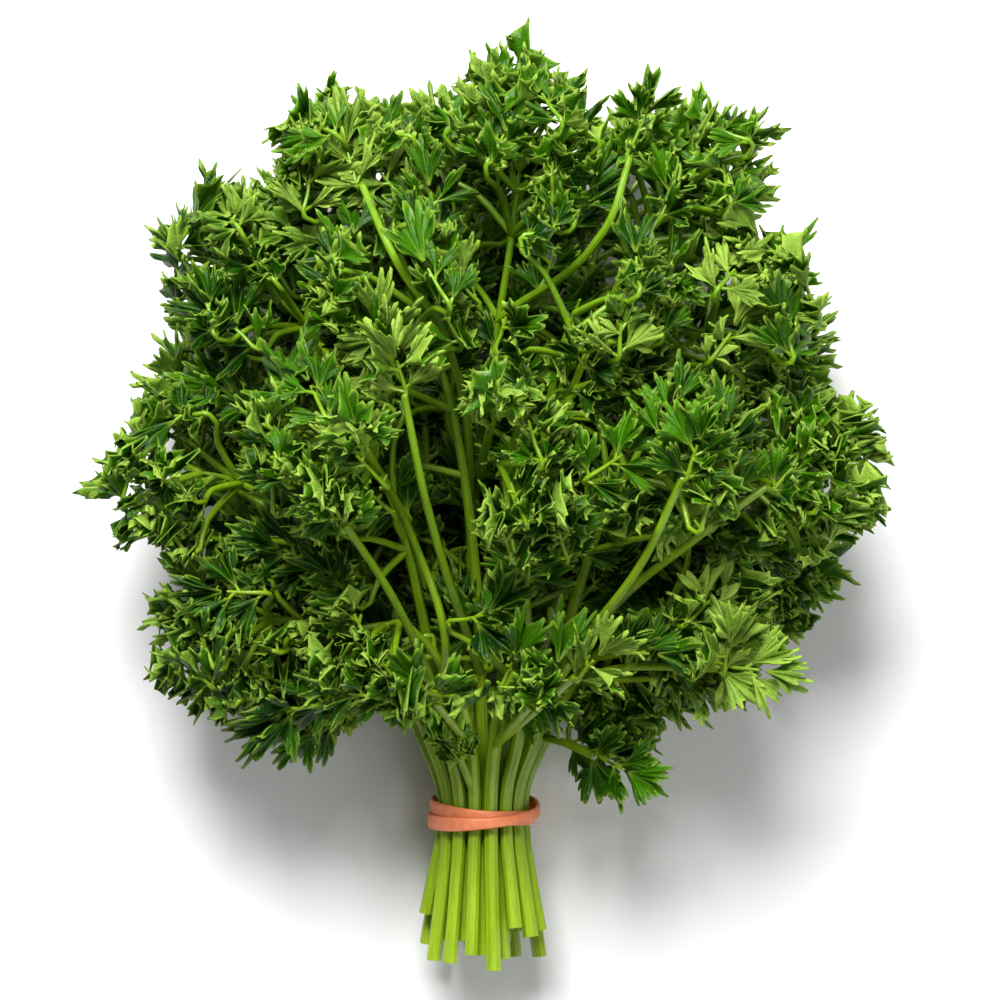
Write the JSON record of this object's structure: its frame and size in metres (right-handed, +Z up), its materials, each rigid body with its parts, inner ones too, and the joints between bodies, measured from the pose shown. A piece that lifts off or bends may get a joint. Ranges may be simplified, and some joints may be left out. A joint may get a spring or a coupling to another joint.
{
  "type": "bunch of curly parsley",
  "caption": "Bunch of curly parsley lying on its side: a bundle of cut stalks tied with a rubber band, fanning into a dense crown of frilled leaves.",
  "frame": {"origin": "on the surface the bunch lies on, under the middle of its bounding box", "axes": "+Z up from the surface, +Y along the bunch from the cut ends to the crown, +X to the right seen from above with the cut ends nearest"},
  "size_m": [0.2148, 0.2546, 0.1168],
  "materials": {
    "stalk": "fresh green stalk, ribbed lengthwise, slightly waxy, paler where it was cut",
    "leaf": "fresh curly leaf, satin dark green on top and paler, matt and veined beneath",
    "rubber_band": "smooth coral rubber, soft sheen"
  },
  "bodies": {
    "root": {"stalk_01": "stalk", "leaves_01": "leaf", "stalk_02": "stalk", "leaves_02": "leaf", "stalk_03": "stalk", "leaves_03": "leaf", "stalk_04": "stalk", "leaves_04": "leaf", "stalk_05": "stalk", "leaves_05": "leaf", "stalk_06": "stalk", "leaves_06": "leaf", "stalk_07": "stalk", "leaves_07": "leaf", "stalk_08": "stalk", "leaves_08": "leaf", "stalk_09": "stalk", "leaves_09": "leaf", "stalk_10": "stalk", "leaves_10": "leaf", "stalk_11": "stalk", "leaves_11": "leaf", "stalk_12": "stalk", "leaves_12": "leaf", "stalk_13": "stalk", "leaves_13": "leaf", "stalk_14": "stalk", "leaves_14": "leaf", "stalk_15": "stalk", "leaves_15": "leaf", "stalk_16": "stalk", "leaves_16": "leaf", "stalk_17": "stalk", "leaves_17": "leaf", "stalk_18": "stalk", "leaves_18": "leaf", "stalk_19": "stalk", "leaves_19": "leaf", "stalk_20": "stalk", "leaves_20": "leaf", "stalk_21": "stalk", "leaves_21": "leaf", "stalk_22": "stalk", "leaves_22": "leaf", "stalk_23": "stalk", "leaves_23": "leaf", "stalk_24": "stalk", "leaves_24": "leaf", "stalk_25": "stalk", "leaves_25": "leaf", "stalk_26": "stalk", "leaves_26": "leaf", "stalk_27": "stalk", "leaves_27": "leaf", "stalk_28": "stalk", "leaves_28": "leaf", "stalk_29": "stalk", "leaves_29": "leaf", "rubber_band": "rubber_band"}
  },
  "joints": []
}
